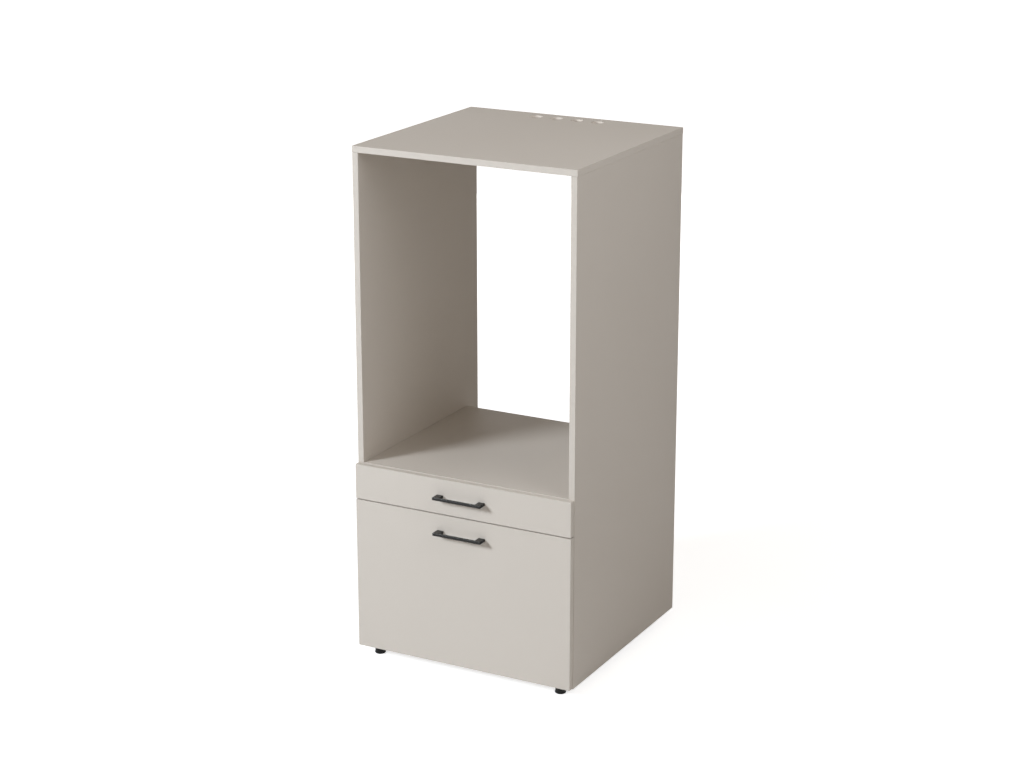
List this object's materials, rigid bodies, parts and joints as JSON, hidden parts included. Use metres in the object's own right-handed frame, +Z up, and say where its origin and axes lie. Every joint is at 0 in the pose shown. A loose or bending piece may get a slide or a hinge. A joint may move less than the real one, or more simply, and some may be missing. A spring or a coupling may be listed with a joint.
{
  "type": "washing machine cabinet",
  "caption": "Tall cabinet with an open niche for a washing machine above a shallow and a deep pull-out drawer, on levelling feet.",
  "frame": {"origin": "on the floor, under the middle of the box that holds the cabinet with its handles", "axes": "+Z up, the fronts face -Y, +X to the right as seen from the front"},
  "size_m": [0.682, 0.7086, 1.48],
  "materials": {
    "laminate_board": "smooth matt laminate in a warm light grey, edges banded alike",
    "drawer_bottom_board": "thin fibreboard with a smooth painted face",
    "black_metal": "satin black powder coat",
    "black_plastic": "moulded, matt",
    "runner_zinc": "bright zinc plate",
    "zinc_plate": "bright zinc plate",
    "cage_steel": "plain strip steel with polished balls"
  },
  "bodies": {
    "carcass": {"side_panel_left": "laminate_board", "side_panel_right": "laminate_board", "top_panel": "laminate_board", "washer_shelf": "laminate_board", "bottom_panel": "laminate_board", "lower_back_panel": "laminate_board", "top_rear_rail": "laminate_board", "insert_front_left": "zinc_plate", "insert_front_right": "zinc_plate", "insert_rear_left": "zinc_plate", "insert_rear_right": "zinc_plate", "upper_runner_cabinet_member_left": "runner_zinc", "upper_runner_cabinet_member_right": "runner_zinc", "lower_runner_cabinet_member_left": "runner_zinc", "lower_runner_cabinet_member_right": "runner_zinc"},
    "upper_drawer": {"upper_drawer_front": "laminate_board", "upper_drawer_side_left": "laminate_board", "upper_drawer_side_right": "laminate_board", "upper_drawer_inner_front": "laminate_board", "upper_drawer_back": "laminate_board", "upper_drawer_bottom": "drawer_bottom_board", "upper_drawer_handle": "black_metal", "upper_handle_screw_left": "zinc_plate", "upper_handle_screw_right": "zinc_plate", "upper_runner_drawer_member_left": "runner_zinc", "upper_runner_drawer_member_right": "runner_zinc"},
    "upper_middles": {"upper_runner_middle_member_left": "runner_zinc", "upper_runner_middle_member_right": "runner_zinc"},
    "upper_outer_cages": {"upper_runner_outer_cage_left": "cage_steel", "upper_runner_outer_cage_right": "cage_steel"},
    "upper_inner_cages": {"upper_runner_inner_cage_left": "cage_steel", "upper_runner_inner_cage_right": "cage_steel"},
    "lower_drawer": {"lower_drawer_front": "laminate_board", "lower_drawer_side_left": "laminate_board", "lower_drawer_side_right": "laminate_board", "lower_drawer_inner_front": "laminate_board", "lower_drawer_back": "laminate_board", "lower_drawer_bottom": "drawer_bottom_board", "lower_drawer_handle": "black_metal", "lower_handle_screw_left": "zinc_plate", "lower_handle_screw_right": "zinc_plate", "lower_runner_drawer_member_left": "runner_zinc", "lower_runner_drawer_member_right": "runner_zinc"},
    "lower_middles": {"lower_runner_middle_member_left": "runner_zinc", "lower_runner_middle_member_right": "runner_zinc"},
    "lower_outer_cages": {"lower_runner_outer_cage_left": "cage_steel", "lower_runner_outer_cage_right": "cage_steel"},
    "lower_inner_cages": {"lower_runner_inner_cage_left": "cage_steel", "lower_runner_inner_cage_right": "cage_steel"},
    "foot_front_left": {"foot_front_left": "black_plastic"},
    "foot_front_right": {"foot_front_right": "black_plastic"},
    "foot_rear_left": {"foot_rear_left": "black_plastic"},
    "foot_rear_right": {"foot_rear_right": "black_plastic"}
  },
  "joints": [
    {"name": "upper_drawer_slide", "type": "slide", "parent": "carcass", "child": "upper_drawer", "axis": [0, -1, 0], "range_m": [0, 0.5]},
    {"name": "upper_middles_slide", "type": "slide", "parent": "carcass", "child": "upper_middles", "axis": [0, -1, 0], "range_m": [0, 0.25]},
    {"name": "upper_outer_cages_slide", "type": "slide", "parent": "carcass", "child": "upper_outer_cages", "axis": [0, -1, 0], "range_m": [0, 0.125]},
    {"name": "upper_inner_cages_slide", "type": "slide", "parent": "carcass", "child": "upper_inner_cages", "axis": [0, -1, 0], "range_m": [0, 0.375]},
    {"name": "lower_drawer_slide", "type": "slide", "parent": "carcass", "child": "lower_drawer", "axis": [0, -1, 0], "range_m": [0, 0.5]},
    {"name": "lower_middles_slide", "type": "slide", "parent": "carcass", "child": "lower_middles", "axis": [0, -1, 0], "range_m": [0, 0.25]},
    {"name": "lower_outer_cages_slide", "type": "slide", "parent": "carcass", "child": "lower_outer_cages", "axis": [0, -1, 0], "range_m": [0, 0.125]},
    {"name": "lower_inner_cages_slide", "type": "slide", "parent": "carcass", "child": "lower_inner_cages", "axis": [0, -1, 0], "range_m": [0, 0.375]},
    {"name": "foot_front_left_level", "type": "slide", "parent": "carcass", "child": "foot_front_left", "axis": [0, 0, 1], "range_m": [-0.008, 0.005]},
    {"name": "foot_front_right_level", "type": "slide", "parent": "carcass", "child": "foot_front_right", "axis": [0, 0, 1], "range_m": [-0.008, 0.005]},
    {"name": "foot_rear_left_level", "type": "slide", "parent": "carcass", "child": "foot_rear_left", "axis": [0, 0, 1], "range_m": [-0.008, 0.005]},
    {"name": "foot_rear_right_level", "type": "slide", "parent": "carcass", "child": "foot_rear_right", "axis": [0, 0, 1], "range_m": [-0.008, 0.005]}
  ],
  "couplings": [
    {"joint": "upper_middles_slide", "follows": "upper_drawer_slide", "ratio": 0.5},
    {"joint": "upper_outer_cages_slide", "follows": "upper_drawer_slide", "ratio": 0.25},
    {"joint": "upper_inner_cages_slide", "follows": "upper_drawer_slide", "ratio": 0.75},
    {"joint": "lower_middles_slide", "follows": "lower_drawer_slide", "ratio": 0.5},
    {"joint": "lower_outer_cages_slide", "follows": "lower_drawer_slide", "ratio": 0.25},
    {"joint": "lower_inner_cages_slide", "follows": "lower_drawer_slide", "ratio": 0.75}
  ]
}
